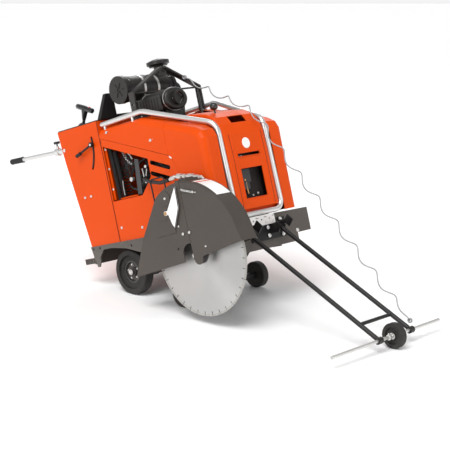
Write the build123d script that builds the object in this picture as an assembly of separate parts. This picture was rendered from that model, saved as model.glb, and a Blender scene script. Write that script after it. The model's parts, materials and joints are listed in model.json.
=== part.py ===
"""Walk-behind masonry floor saw with diesel engine, blade guard and folding front guide.

Everything is modelled with the chassis level: X forward, Y left, Z up, origin on the rear axle.
The finished parts are then pitched nose-up and set on their wheels, blade raised for transport.
"""
import math
import os

from build123d import *

# ---- overall placement ----
nose_up_deg = 16.0
rear_tyre_r = 149.0
shift_x = -360.47
shift_y = 101.5

# ---- body shell ----
body_y = 362.0
deck_z = 210.0
console_rear = [(-341, deck_z), (-438, 794), (-465, 1022)]
seam_x = -32.0
console_top = 1022.0
sheet = 3.0
hood_top = 964.0
hood_peak_x = 380.0
hood_front_x = 925.0
hood_shoulder = (842.0, 820.0)
hood_inner_y = 236.0
hood_rim_r = 50.0
crease = [(-30, 905), (598, 685), (623, 662), (646, 614), (651, 550), (651, deck_z)]
cowl_y = 186.0

# ---- blade and drive ----
blade_x = 857.0
blade_z = 50.0
blade_y = -502.0
blade_r = 381.0
blade_segments = 36
shaft_r = 25.0
arbor_r = 12.7
flange_r = 57.0
drive_x = 640.0
drive_z = 330.0
driven_pulley_r = 58.0
drive_pulley_r = 68.0
belt_y = (95.0, 150.0)

# ---- guard ----
guard_out = -570.0
guard_in = -440.0
guard_wall = 4.0
guard_arc = (857.0, 82.0, 420.0)
guard_hinge = (862.0, 512.0)

# ---- running gear ----
rear_wheel_y = (280.0, 356.0)
front_wheel_right_y = (288.0, 340.0)
front_wheel_left_y = (339.0, 391.0)
front_wheel_r = 88.0
lift_pivot = (700.0, 20.0)
lever_r = 130.0
lever_half_deg = 19.0

# ---- handles ----
handle_pivot = (-421.0, 892.0)
handle_slope_deg = 2.4
handle_y = 335.0
handle_rear = -1084.0
handle_tube_r = 15.0
sleeve_r = 20.0

joystick_base = (-385.0, -200.0, 1000.0)
joystick_grip = (-315.0, -200.0, 1149.0)
grip_slope_deg = 23.0
stop_at = (-250.0, -60.0)
key_at = (-200.0, -20.0)

# ---- front guide ----
pointer_pivot = (1003.0, 112.0)
pointer_arm_y = (-218.0, 78.0)
pointer_wheel_r = 75.0
running_gap = 0.05

# ---- curly cord, route at the middle of its turns ----
cord_r = 24.0
cord_route = [
    (348, 149, 1200), (498, 142, 1105), (690, 130, 992), (855, 119, 912), (968, 112, 818),
    (1045, 112, 670), (1205, 114, 400), (1428, 117, 55), (1640, 119, -275), (1826, 121, -560),
]

parts = {}


def level_height(x, above_ground):
    """Height in the level frame of a point that sits above the ground once pitched."""
    pitch = math.radians(nose_up_deg)
    return (above_ground - rear_tyre_r - x * math.sin(pitch)) / math.cos(pitch)


front_axle = (434.0, level_height(434.0, front_wheel_r))
pointer_tip = (1850.0, level_height(1850.0, pointer_wheel_r))


def block(x0, x1, y0, y1, z0, z1):
    """Box between two corners."""
    middle = ((x0 + x1) / 2, (y0 + y1) / 2, (z0 + z1) / 2)
    return Pos(*middle) * Box(x1 - x0, y1 - y0, z1 - z0)


def rod_x(y, z, x0, x1, r):
    """Round bar along X."""
    return Pos((x0 + x1) / 2, y, z) * Rot(0, 90, 0) * Cylinder(r, x1 - x0)


def rod_y(x, z, y0, y1, r):
    """Round bar along Y."""
    return Pos(x, (y0 + y1) / 2, z) * Rot(90, 0, 0) * Cylinder(r, y1 - y0)


def rod_z(x, y, z0, z1, r):
    """Round bar along Z."""
    return Pos(x, y, (z0 + z1) / 2) * Cylinder(r, z1 - z0)


def hex_y(x, z, y0, y1, across_flats):
    """Hexagonal bar along Y."""
    profile = RegularPolygon(across_flats / 2, 6, major_radius=False)
    return Pos(x, y1, z) * extrude(Plane.XZ * profile, amount=y1 - y0)


def side_face(points):
    """Face on the XZ plane through (x, z) points."""
    return Plane.XZ * make_face(Polyline(*points, close=True))


def side_plate(points, y0, y1):
    """Plate parallel to the XZ plane, from y0 to y1."""
    return Pos(0, y1, 0) * extrude(side_face(points), amount=y1 - y0)


def front_plate(points, x0, x1):
    """Plate parallel to the YZ plane through (y, z) points, from x0 to x1."""
    face = Plane.YZ * make_face(Polyline(*points, close=True))
    return Pos(x0, 0, 0) * extrude(face, amount=x1 - x0)


def deck_plate(points, z0, z1):
    """Plate parallel to the XY plane through (x, y) points, from z0 to z1."""
    face = make_face(Polyline(*points, close=True))
    return Pos(0, 0, z0) * extrude(face, amount=z1 - z0)


def bent_rod(points, radii, r):
    """Round bar along straight runs joined by tangent arcs."""
    path = FilletPolyline(*points, radius=radii)
    return sweep(Plane(path @ 0, z_dir=path % 0) * Circle(r), path=path)


def straight_rod(start, end, r):
    """Round bar between two points."""
    run = Vector(*end) - Vector(*start)
    plane = Plane(origin=start, z_dir=run)
    return extrude(plane * Circle(r), amount=run.length)


def arc_points(centre, r, start_deg, end_deg, count):
    """Points on an arc in the XZ plane."""
    step = (end_deg - start_deg) / (count - 1)
    angles = [math.radians(start_deg + step * i) for i in range(count)]
    return [(centre[0] + r * math.cos(a), centre[1] + r * math.sin(a)) for a in angles]


def link(start, end, half_width, y0, y1):
    """Flat bar with round ends between two (x, z) points."""
    dx, dz = end[0] - start[0], end[1] - start[1]
    size = math.hypot(dx, dz)
    nx, nz = -dz / size * half_width, dx / size * half_width
    corners = [(start[0] + nx, start[1] + nz), (end[0] + nx, end[1] + nz)]
    corners += [(end[0] - nx, end[1] - nz), (start[0] - nx, start[1] - nz)]
    bar = side_plate(corners, y0, y1)
    return bar + rod_y(*start, y0, y1, half_width) + rod_y(*end, y0, y1, half_width)


def mirror_y(shape):
    """The same shape on the left side."""
    return mirror(shape, about=Plane.XZ)


# ---------------- chassis ----------------
def make_main_frame():
    plate_y = (360.0, 368.0)
    outline = [(-343, deck_z), (-306, 68), (-285, 68), (-263, 106), (-263, 132), (-215, 179)]
    outline += [(-140, 181), (-60, 172), (25, 160), (90, 140), (150, 122), (640, 122)]
    outline += [(650, 80), (650, deck_z)]
    near = side_plate(outline, -plate_y[1], -plate_y[0])
    for hole_x, hole_z in ((-317, 193), (-246, 193), (79, 173), (240, 165), (560, 165)):
        near -= rod_y(hole_x, hole_z, -380, -340, 8)
    near += block(-430, -338, -368, -356, 96, 134)
    frame = near + mirror_y(near)
    deck = block(-338, 650, -360, 360, 200, 208) - block(-250, 30, -250, 250, 190, 220)
    deck -= block(560, 651, 88, 157, 190, 220)
    frame += deck
    frame += block(-338, -330, -360, 360, 90, 200)
    frame += block(165, 173, -360, 360, 122, 200)
    frame += block(60, 68, -270, 270, -40, 200)
    for side in (-1, 1):
        arm = side_plate([(-60, 200), (-60, -45), (60, -45), (60, 200)], side * 112 - 6, side * 112 + 6)
        frame += arm - rod_y(0, 0, side * 112 - 20, side * 112 + 20, 42)
    return frame


def make_front_box():
    box_y, x0, x1, z0, z1, wall = 437.0, 652.0, 930.0, -5.0, 197.0, 8.0
    box = block(x0, x1, -box_y, box_y, z0, z1)
    box -= block(x0 + wall, x1 - wall, -box_y + wall, box_y - wall, z0 - 1, z1 - wall)
    box -= block(x0 - 1, x0 + wall + 1, -420, 420, z0 - 1, 80)
    box -= block(x0 - 1, x0 + wall + 1, -60, 175, 70, z1 - wall)
    box -= block(x0 - 1, 838, 88, 157, z1 - wall - 1, z1 + 1)
    box -= block(x0 - 1, x1 + 1, 300, box_y + 1, z0 - 1, 48) - block(x0, x1, 300, 308, z0 - 2, 48)
    box -= rod_y(blade_x, blade_z, -box_y - 1, 0, 44)
    for side in (-1, 1):
        y0 = side * 338 - 6
        lug = block(664, 736, y0, y0 + 12, -24, z1 - wall)
        box += lug - rod_y(*lift_pivot, y0 - 1, y0 + 13, 18 + running_gap)
    return box


def make_bumper_plate():
    outline = [(-150, 140), (-150, 196), (-138, 204), (86, 204), (98, 196), (98, 140)]
    plate = front_plate(outline, 942.5, 950.5) + block(930, 950.5, -138, 86, 199, 204)
    plate += block(930, 942.5, -150, -120, 174, 192) + block(930, 942.5, 60, 90, 174, 192)
    for y in (-96, -22, 50):
        plate -= rod_x(y, 176, 930, 952, 6)
        plate -= block(938, 952, y + 22, y + 50, 188, 192)
    return plate


# ---------------- sheet-metal body ----------------
def make_console_shell():
    outline = console_rear + [(seam_x, console_top), (seam_x, deck_z)]
    inner = [(-337, deck_z + sheet), (-435, 794), (-462, console_top + 5)]
    inner += [(seam_x - sheet, console_top + 5), (seam_x - sheet, deck_z + sheet)]
    shell = side_plate(outline, -body_y, body_y)
    shell -= side_plate(inner, -body_y + sheet, body_y - sheet)
    corner_edges = shell.edges().filter_by(lambda e: abs(e.center().Y) > body_y - 1 and e.center().X < -380)
    shell = fillet(corner_edges, 8) if corner_edges else shell
    slot_r, slot_w = 311.0, 9.0
    for side in (-1, 1):
        ring = rod_y(*handle_pivot, side * body_y - 10, side * body_y + 10, slot_r + slot_w)
        ring -= rod_y(*handle_pivot, side * body_y - 11, side * body_y + 11, slot_r - slot_w)
        wedge = [handle_pivot] + arc_points(handle_pivot, 400, -34, 7.5, 8)
        shell -= ring & side_plate(wedge, side * body_y - 10, side * body_y + 10)
        shell -= block(-470, -420, side * handle_y - 23, side * handle_y + 23, 835, 950)
        shell -= rod_y(*handle_pivot, side * body_y - 10, side * body_y + 10, 12 + running_gap)
        shell -= rod_x(side * handle_y, 880, seam_x - 10, seam_x + 1, 26)
    return shell


def make_control_panel():
    plate = block(-455, seam_x - 6, -body_y + 5, body_y - 5, console_top, console_top + 7)
    plate -= block(-404, -342, -224, -176, console_top - 5, console_top + 10)
    plate -= rod_z(*stop_at, console_top - 5, console_top + 10, 10 + 0.3)
    plate -= rod_z(*key_at, console_top - 5, console_top + 10, 8 + 0.3)
    plate -= block(-300, -200, 235, 247, console_top - 5, console_top + 10)
    pod_side = [(-45, console_top + 7), (-10, console_top + 7), (-10, 1195), (-38, 1195)]
    pod = side_plate(pod_side, -340, -190)
    cheek = front_plate([(-350, 1000), (-180, 1000), (-180, 1250), (-225, 1250)], -80, 0)
    pod = pod & cheek
    gauges = side_plate([(-110, console_top + 7), (-60, console_top + 7), (-60, 1058)], -150, 300)
    return plate + pod + gauges


def hood_profile(inset, floor_z):
    """Side profile of a hood, brought in all round."""
    top = hood_top - inset
    shoulder = (hood_shoulder[0] - inset * 0.5, hood_shoulder[1] - inset)
    front = hood_front_x - inset
    points = [(seam_x + 2 + inset, floor_z), (seam_x + 2 + inset, top), (hood_peak_x, top)]
    points += [shoulder, (front - 22, 785 - inset), (front, 740 - inset), (front, floor_z)]
    return points


def rounded_side(points, y_out, y_in, r):
    """Side-profile prism with its outer rim rounded."""
    solid = side_plate(points, y_out, y_in)
    rim = solid.edges().filter_by(lambda e: abs(e.center().Y - y_out) < 0.5)
    rim = rim.filter_by(lambda e: e.center().Z > deck_z + 1 and e.center().X > seam_x + 20)
    return fillet(rim, r)


def hood_outer():
    """Solid outer form of the right hood."""
    return rounded_side(hood_profile(0, deck_z), -body_y, -hood_inner_y, hood_rim_r)


def make_hood_right():
    inner_r = hood_rim_r - sheet
    inner = rounded_side(hood_profile(sheet, deck_z - 20), -body_y + sheet, -hood_inner_y + 20, inner_r)
    core = rounded_side(hood_profile(1.2, deck_z), -body_y + 1.2, -hood_inner_y + 1, hood_rim_r - 1.2)
    groove = (hood_outer() - core) & block(594.8, 597.2, -body_y - 1, -hood_inner_y - 2, 690, 900)
    shell = hood_outer() - inner - groove
    below = [(-60, 0), (-60, 915.5)] + crease[1:] + [(651, 0)]
    return shell - side_plate(below, -body_y - 5, -hood_inner_y - 30) - side_plate(
        [(-60, 0), (-60, 900), (598, 680), (651, 545), (651, 0)], -300, -hood_inner_y + 30)


def make_side_panel(window):
    inset = 2.0
    outline = [(seam_x + 4, deck_z), (seam_x + 4, 902)]
    outline += [(596, 682), (620, 660), (643, 613), (648, 550), (648, deck_z)]
    y0 = -body_y + inset
    panel = side_plate(outline, y0, y0 + sheet)
    flange = side_plate([(640, 225), (640, 540), (648, 540), (648, 225)], y0 + sheet, y0 + 30)
    panel += flange
    if window:
        panel -= side_plate([(-20, 478), (-20, 848), (395, 698), (395, 585), (280, 478)], y0 - 1, y0 + 9)
    for start, end in (((423, 668), (575, 612)), ((410, 600), (575, 540))):
        panel -= link(start, end, 14, y0 - 1, y0 + 9)
    return panel


def make_centre_cowl():
    profile = [(640, deck_z), (640, 918), (800, 890), (872, 852), (908, 800), (926, 735)]
    profile += [(934, 600), (936, 259), (906, 259), (906, deck_z)]
    inner = [(630, deck_z - 9), (630, 916), (799, 886.5), (870, 849), (905, 798), (923, 734)]
    inner += [(931, 600), (933, 262), (903, 262), (903, deck_z - 9)]
    cowl = side_plate(profile, -cowl_y, cowl_y)
    rim = cowl.edges().filter_by(lambda e: abs(abs(e.center().Y) - cowl_y) < 0.5)
    rim = rim.filter_by(lambda e: e.center().Z > 300 and e.center().X > 660)
    cowl = fillet(rim, 16)
    hollow = side_plate(inner, -cowl_y + sheet, cowl_y - sheet)
    rim = hollow.edges().filter_by(lambda e: abs(abs(e.center().Y) - cowl_y + sheet) < 0.5)
    rim = rim.filter_by(lambda e: e.center().Z > 300 and e.center().X > 660)
    cowl -= fillet(rim, 13)
    cowl -= block(900, 950, -100, 95, 322, 513)
    cowl -= block(900, 950, -103, 95, 585, 609)
    cowl -= block(868, 912, -68, 68, 806, 900)
    for y in (-140, 150):
        cowl -= block(935, 940, y - 1.2, y + 1.2, 266, 560)
    valley_out = [(640, deck_z), (640, 850), (820, 800), (864, 757), (884, 712), (884, deck_z)]
    valley_in = [(630, 200), (630, 849), (818, 797), (861, 755), (881, 711), (881, 200)]
    for side in (-1, 1):
        y0, y1 = sorted((side * (cowl_y + 0.2), side * (hood_inner_y - 0.5)))
        strip = side_plate(valley_out, y0, y1) - side_plate(valley_in, y0 - 5, y1 + 5)
        cowl += strip + block(880, 888, *sorted((side * (cowl_y - 6), side * (cowl_y + 10))), 300, 700)
    return cowl


def make_panel_fasteners():
    studs = []
    for x, z in ((54, 931), (462, 806), (-298, 546), (-233, 546), (560, 230), (14, 299), (218, 276)):
        for side in (-1, 1):
            depth = body_y if z > 700 or x < 0 else body_y - 2
            y0, y1 = sorted((side * depth, side * (depth + 5)))
            studs.append(rod_y(x, z, y0, y1, 9))
    return Compound(children=studs)


def make_hoop_tube():
    route = [(-10, -335, 990), (400, -335, 1002), (912, -207, 815), (930, -207, 224), (930, 0, 224)]
    half = bent_rod(route, [110, 95, 60], 17)
    posts = rod_z(16, -335, 930, 990, 9) + rod_z(300, -335, 930, 996, 9) + rod_x(-207, 560, 889, 925, 8)
    half += posts - hood_outer()
    return half + mirror_y(half)


def make_lifting_bail():
    leg_y, t = 300.0, 6.0
    outer = [(-leg_y - t, hood_top), (-leg_y - t, 1141), (-20, 1291), (20, 1291)]
    outer += [(leg_y + t, 1141), (leg_y + t, hood_top)]
    inner = [(leg_y - t, hood_top), (leg_y - t, 1134), (17, 1279), (-17, 1279)]
    inner += [(-leg_y + t, 1134), (-leg_y + t, hood_top)]
    bail = front_plate(outer + inner, 275, 325)
    bail -= rod_y(300, 1060, -320, -280, 8)
    lug = block(294, 306, -35, 35, 1232, 1281)
    bail += lug - rod_x(0, 1254, 290, 310, 14)
    bail += rod_y(300, 1132, -296, 296, 6)
    bail += straight_rod((310, 285, 1120), (405, 192, 925), 7)
    for side in (-1, 1):
        y0, y1 = sorted((side * 262, side * 309))
        bail += block(262, 338, y0, y1, hood_top, hood_top + 8)
    return bail


# ---------------- engine bay ----------------
def make_engine():
    case = block(80, 560, -150, 150, 330, 640) - block(105, 535, -125, 125, 355, 615)
    head = block(100, 545, -112, 112, 640, 745) - block(125, 520, -90, 90, 660, 725)
    rocker = fillet(block(120, 525, -78, 78, 745, 815).edges().filter_by(Axis.X), 20)
    sump = block(110, 530, -120, 120, 232, 330) - block(120, 520, -110, 110, 242, 320)
    bell = rod_x(0, 470, 40, 80, 165) - rod_x(0, 470, 48, 79, 150)
    engine = case + head + rocker + sump + bell
    for x in (140, 500):
        for side in (-1, 1):
            y0, y1 = sorted((side * 150, side * 200))
            engine += block(x - 25, x + 25, y0, y1, 340, 380)
            engine += block(x - 20, x + 20, *sorted((side * 160, side * 200)), 208, 340)
    for i in range(4):
        engine += rod_y(165 + 110 * i, 690, -170, -112, 17)
    gearbox = block(560, 705, -120, 60, 262, 420) - block(575, 690, -105, 45, 275, 405)
    gearbox += rod_y(drive_x, drive_z, 60, 152, 20)
    engine += gearbox
    engine += rod_x(0, 560, 560, 790, 16)
    engine += rod_x(-205, 560, 150, 300, 52) + block(190, 260, -170, -140, 545, 575)
    deck = block(seam_x + 6, 636, -232, 232, 916, 920)
    deck += block(seam_x + 8, 560, 204, 208, 400, 918)
    pillars = [rod_z(x, y, 745, 916, 14) for x in (150, 500) for y in (-95, 95)]
    for pillar in pillars:
        deck += pillar
    return engine + deck


def make_drive_pulley():
    y0, y1 = belt_y
    pulley = rod_y(drive_x, drive_z, y0, y1, drive_pulley_r)
    for i in range(4):
        middle = y0 + 9 + i * 12.3
        groove = rod_y(drive_x, drive_z, middle - 3, middle + 3, drive_pulley_r + 1)
        pulley -= groove - rod_y(drive_x, drive_z, middle - 4, middle + 4, drive_pulley_r - 7)
    pulley -= rod_y(drive_x, drive_z, y1 - 15, y1 + 1, 50) - rod_y(drive_x, drive_z, y1 - 20, y1, 30)
    return pulley - rod_y(drive_x, drive_z, y0 - 1, y1 + 1, 20 + running_gap)


def make_fan():
    centre_z, x0, x1 = 560.0, 758.0, 788.0
    fan = rod_x(0, centre_z, x0, x1, 42)
    for i in range(7):
        blade = Pos(0, 0, 105) * Rot(0, 0, 28) * Box(5, 60, 140)
        fan += Pos((x0 + x1) / 2, 0, centre_z) * Rot(360 / 7 * i, 0, 0) * blade
    return fan - rod_x(0, centre_z, x0 - 1, x1 + 1, 16 + running_gap)


def make_radiator():
    core = block(835, 875, -170, 150, 300, 760)
    tanks = block(828, 882, -176, 156, 760, 790) + block(828, 882, -176, 156, 270, 300)
    shroud = rod_x(0, 560, 745, 828, 190) - rod_x(0, 560, 740, 830, 186)
    shroud &= block(740, 828, -178, 178, 300, 800)
    frame = block(824, 828, -178, 178, 300, 780) - rod_x(0, 560, 820, 830, 186)
    feet = block(840, 870, -150, -110, deck_z - 13, 270) + block(840, 870, 90, 130, deck_z - 13, 270)
    return core + tanks + shroud + frame + feet


def make_drive_belt():
    grow = 3.0
    dx, dz = blade_x - drive_x, blade_z - drive_z
    size = math.hypot(dx, dz)
    nx, nz = -dz / size, dx / size

    def loop(extra, y0, y1):
        big, small = drive_pulley_r + extra, driven_pulley_r + extra
        side = [(drive_x + nx * big, drive_z + nz * big), (blade_x + nx * small, blade_z + nz * small)]
        side += [(blade_x - nx * small, blade_z - nz * small), (drive_x - nx * big, drive_z - nz * big)]
        band = side_plate(side, y0, y1) + rod_y(drive_x, drive_z, y0, y1, big)
        return band + rod_y(blade_x, blade_z, y0, y1, small)

    y0, y1 = belt_y
    return loop(0.4 + grow, y0 + 4, y1 - 4) - loop(0.4, y0 - 1, y1 + 1)


def make_air_cleaner():
    x, z = 147.0, 1186.0
    body = rod_y(x, z, -250, 150, 84) + rod_y(x, z, -272, -236, 92)
    body += rod_y(x, z, 150, 172, 92) + rod_y(x, z, 172, 205, 60)
    for i in range(6):
        spoke = Pos(x, -274, z) * Rot(0, 60 * i, 0) * Pos(28, 0, 0) * Box(44, 5, 7)
        body += spoke
    body += rod_z(x, 122, z + 60, 1320, 34)
    cap = Pos(x, 122, 1325) * Cone(50, 76, 14) + rod_z(x, 122, 1332, 1354, 78)
    cap += Pos(x, 122, 1360) * Cone(76, 40, 12) + rod_z(x, 122, 1366, 1371, 14)
    cradle = block(x - 60, x - 52, -90, 0, 920, 1140) + block(x + 52, x + 60, -90, 0, 920, 1140)
    return body + cap + cradle


def make_intake_hose():
    route = [(147, 206, 1186), (147, 255, 1186), (175, 236, 1040), (215, 185, 985), (215, 185, 921)]
    return bent_rod(route, [24, 26, 15], 24)


def make_band_clamps():
    x, z = 147.0, 1186.0
    bands = []
    for y in (-105, 15):
        band = rod_y(x, z, y - 9, y + 9, 86.5) - rod_y(x, z, y - 10, y + 10, 84)
        band += block(x - 14, x + 14, y - 5, y + 5, z - 95, z - 85.5)
        bands.append(band)
    return bands[0] + bands[1]


def make_muffler():
    centre_y, z = -130.0, 1046.0
    can = Plane.YZ * Pos(centre_y, z) * Ellipse(98, 74)
    body = Pos(262, 0, 0) * extrude(can, amount=270)
    rim = body.edges().filter_by(GeomType.LINE, reverse=True)
    body = fillet(rim, 16)
    body += rod_x(centre_y, z, 532, 560, 46) - rod_x(centre_y, z, 540, 570, 38)
    body += block(300, 312, -190, -70, 920, 985) + block(470, 482, -190, -70, 920, 985)
    shield = block(280, 500, -246, -240, 985, 1085) + block(300, 310, -240, -222, 1020, 1050)
    shield += block(470, 480, -240, -222, 1020, 1050)
    return body + shield


# ---------------- blade drive ----------------
def make_bearing_blocks():
    blocks = []
    for y in (-392, 240):
        body = block(blade_x - 55, blade_x + 55, y, y + 54, 0, 189)
        body -= rod_y(blade_x, blade_z, y - 1, y + 55, shaft_r + running_gap)
        blocks.append(body)
    return Compound(children=blocks)


def make_blade_shaft():
    shaft = rod_y(blade_x, blade_z, -480, 300, shaft_r)
    shaft += rod_y(blade_x, blade_z, -560, -480, arbor_r)
    y0, y1 = belt_y
    pulley = rod_y(blade_x, blade_z, y0, y1, driven_pulley_r)
    for i in range(4):
        middle = y0 + 9 + i * 12.3
        groove = rod_y(blade_x, blade_z, middle - 3, middle + 3, driven_pulley_r + 1)
        pulley -= groove - rod_y(blade_x, blade_z, middle - 4, middle + 4, driven_pulley_r - 7)
    return shaft + pulley


def make_blade():
    core = rod_y(blade_x, blade_z, blade_y - 1.75, blade_y + 1.75, blade_r - 9)
    core += rod_y(blade_x, blade_z, blade_y - 2.5, blade_y + 2.5, blade_r) - rod_y(
        blade_x, blade_z, blade_y - 3, blade_y + 3, blade_r - 10)
    slot = Pos(blade_r - 9, 0, 0) * Box(24, 10, 3.2) + Pos(blade_r - 22, 0, 0) * Rot(90, 0, 0) * Cylinder(4, 10)
    slots = [Pos(blade_x, blade_y, blade_z) * Rot(0, 360 / blade_segments * i, 0) * slot
             for i in range(blade_segments)]
    blade = core - slots
    return blade - rod_y(blade_x, blade_z, blade_y - 4, blade_y + 4, arbor_r)


def make_blade_flanges():
    inner = rod_y(blade_x, blade_z, blade_y + 1.75, -480, flange_r)
    outer = rod_y(blade_x, blade_z, blade_y - 13, blade_y - 1.75, flange_r)
    nut = hex_y(blade_x, blade_z, blade_y - 38, blade_y - 13, 46)
    bore = rod_y(blade_x, blade_z, -600, -470, arbor_r)
    return Compound(children=[inner - bore, outer - bore, nut - bore])


# ---------------- guard ----------------
def hollow_guard(points, drift_x):
    """Guard shell, open below and on the side of the seam."""
    shell = side_plate(points, guard_out, guard_in)
    face = offset(side_face(points), amount=-guard_wall)
    inner = Pos(0, guard_in - guard_wall, 0) * extrude(face, amount=guard_in - guard_out - 2 * guard_wall)
    shell -= inner
    shell -= Pos(0, 0, -12) * inner
    shell -= Pos(drift_x, 0, 0) * inner
    return shell - Pos(drift_x, 0, -12) * inner


def make_guard_rear():
    seam = guard_hinge[0] - 1.5
    outline = [(311, -24), (435, 193), (606, 405)]
    outline += arc_points(guard_arc[:2], guard_arc[2], 122, 90.5, 8)
    outline += [(seam, 501), (seam, 26)]
    guard = hollow_guard(outline, 12)
    guard -= rod_y(844, 66, guard_out - 5, guard_out + 8, 62)
    guard -= block(782, 900, guard_out - 5, guard_out + 8, -20, 66)
    guard -= rod_y(blade_x, blade_z, guard_in - 8, guard_in + 8, 66)
    guard -= block(blade_x - 66, 880, guard_in - 8, guard_in + 8, -30, 50)
    guard -= rod_y(746, 106, guard_out - 5, guard_out + 8, 7) + rod_y(342, 60, guard_out - 5, guard_out + 8, 6)
    guard += side_plate([(587, 196), (607, 286), (757, 286), (757, 206)], guard_out - 4, guard_out)
    guard += rod_y(716, 421, guard_out - 4, guard_out, 44)
    guard += rod_y(817, 190, guard_out - 6, guard_out, 8)
    guard += block(818, seam, -560, -450, 500, 512)
    guard -= rod_y(*guard_hinge, -522, -488, 10)
    guard += rod_y(*guard_hinge, -556, -523, 9) + rod_y(*guard_hinge, -487, -454, 9)
    guard += block(660, 740, guard_in, -437, 60, 100)
    guard += block(500, 560, guard_in, -368, 150, 185)
    return guard


def make_guard_front():
    seam = guard_hinge[0] + 1.5
    outline = [(seam, 501.5)]
    outline += arc_points(guard_arc[:2], guard_arc[2], 89.3, 9, 22)
    outline += [(1288, 92), (991, 48), (945, 40)]
    outline += arc_points((905, 30), 38, 5, -150, 8)
    outline += [(seam, 40)]
    guard = hollow_guard(outline, -12)
    guard -= block(868, 960, guard_out + guard_wall, guard_in - guard_wall, -20, 60)
    guard -= rod_y(blade_x, blade_z, guard_in - 8, guard_in + 8, 66)
    guard -= block(850, blade_x + 66, guard_in - 8, guard_in + 8, -30, 50)
    guard += block(seam, 912, -556, -454, 498, 512) + rod_y(874, 193, guard_out - 6, guard_out, 8)
    guard -= rod_y(*guard_hinge, -557, -521, 10) + rod_y(*guard_hinge, -489, -453, 10)
    return guard + rod_y(*guard_hinge, -520, -490, 9)


def make_guard_latch():
    pivot = (713.0, 331.0)
    outline = [(833, 481), (830, 350), (766, 235), (749, 258), (723, 340)]
    latch = side_plate(outline, guard_out - 12, guard_out - 7)
    latch += link(pivot, (748, 333), 12, guard_out - 12, guard_out - 7)
    latch += rod_y(*pivot, guard_out - 7, guard_out - 0.3, 11)
    return latch + rod_y(*pivot, guard_out - 18, guard_out - 12, 14)


def make_guard_spring():
    y = guard_out - 10
    start, end = (876, y, 453), (992, y, 420)
    spring = straight_rod(start, end, 7.5)
    for x, _, z in (start, end):
        spring += rod_y(x, z, y - 4, guard_out, 4)
    return spring


def make_wire_handle():
    route = [(541, -500, 334), (536, -500, 554), (660, -500, 557), (663, -500, 490), (641, -500, 451)]
    return bent_rod(route, [22, 22, 22], 5)


def make_water_manifold():
    y = -405.0
    route = [(610, y, 534), (682, y, 544), (761, y, 532), (831, y, 521), (905, y, 496)]
    pipe = bent_rod(route, [60, 60, 60], 9)
    for start, end, r in (((626, 536), (664, 542), 15), ((690, 543), (728, 537), 18),
                          ((742, 535), (764, 532), 15), ((786, 528), (824, 522), 18),
                          ((852, 514), (890, 501), 15)):
        pipe += straight_rod((start[0], y, start[1]), (end[0], y, end[1]), r)
    pipe += rod_z(785, y, 470, 527, 9)
    return pipe + block(770, 800, guard_in, y + 10, 462, 472)


def make_water_hose():
    route = [(601, -405, 532), (510, -402, 528), (419, -398, 550), (345, -386, 576), (310, -275, 590)]
    return bent_rod(route, [70, 70, 40], 12)


# ---------------- running gear ----------------
def make_rear_drive():
    tube = rod_y(0, 0, -270, 270, 28)
    for side in (-1, 1):
        y0, y1 = sorted((side * 130, side * 262))
        tube += rod_y(0, 0, y0, y1, 52)
        y0, y1 = sorted((side * 262, side * 342))
        tube += rod_y(0, 0, y0, y1, 20)
    return tube


def make_rear_hub(side):
    hub = rod_y(0, 0, -338, -284, 75) - rod_y(0, 0, -339, -322, 66) - rod_y(0, 0, -300, -283, 62)
    hub += rod_y(0, 0, -338, -284, 32)
    for i in range(5):
        angle = math.radians(72 * i + 18)
        hub += hex_y(47 * math.cos(angle), 47 * math.sin(angle), -330, -322, 15)
    hub -= rod_y(0, 0, -345, -280, 20 + running_gap)
    hub += rod_y(0, 0, -352, -344, 24) + rod_y(0, 0, -345, -338, 24) - rod_y(0, 0, -343, -338, 20.5)
    return hub if side < 0 else mirror_y(hub)


def make_tyre(side):
    y0, y1 = rear_wheel_y
    tyre = rod_y(0, 0, -y1, -y0, rear_tyre_r)
    tyre = fillet(tyre.edges(), 10)
    tyre -= rod_y(0, 0, -y1 - 1, -y0 + 1, 75)
    tyre -= rod_y(0, 0, -y1 - 1, -y1 + 14, 112)
    tyre -= rod_y(0, 0, -y0 - 14, -y0 + 1, 112)
    return tyre if side < 0 else mirror_y(tyre)


def make_lift_arm():
    px, pz = lift_pivot
    ax, az = front_axle
    arm = rod_y(px, pz, -331, 331, 30)
    arm += rod_y(px, pz, -346, 346, 18)
    for side in (-1, 1):
        y0, y1 = sorted((side * 58, side * 80))
        arm += link(lift_pivot, front_axle, 26, y0, y1)
    arm += rod_y(ax, az, -283, 334, 22) + rod_y(ax, az, -346, 397, 14)
    lean = math.radians(lever_half_deg)
    tip = (px - lever_r * math.sin(lean), pz + lever_r * math.cos(lean))
    arm += link(lift_pivot, tip, 17, -8, 8)
    arm += rod_y(*tip, -24, 24, 9)
    return arm


def make_front_wheel(side):
    y0, y1 = front_wheel_right_y if side < 0 else front_wheel_left_y
    wheel = fillet(rod_y(*front_axle, -y1, -y0, front_wheel_r).edges(), 7)
    wheel -= rod_y(*front_axle, -y1 - 1, -y1 + 9, 58) - rod_y(*front_axle, -y1 - 2, -y1 + 9, 27)
    wheel -= rod_y(*front_axle, -y1 - 1, -y0 + 1, 14 + running_gap)
    return wheel if side < 0 else mirror_y(wheel)


lift_rod_z = lift_pivot[1] + lever_r * (1 + math.cos(math.radians(lever_half_deg))) / 2
lift_eye_x = lift_pivot[0] - lever_r * math.sin(math.radians(lever_half_deg))


def make_lift_cylinder():
    barrel = rod_x(0, lift_rod_z, 190, 520, 32) - rod_x(0, lift_rod_z, 205, 521, 14 + running_gap)
    barrel += rod_x(0, lift_rod_z, 173, 190, 20)
    barrel += rod_z(230, 0, lift_rod_z + 28, lift_rod_z + 44, 9)
    return barrel


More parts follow.
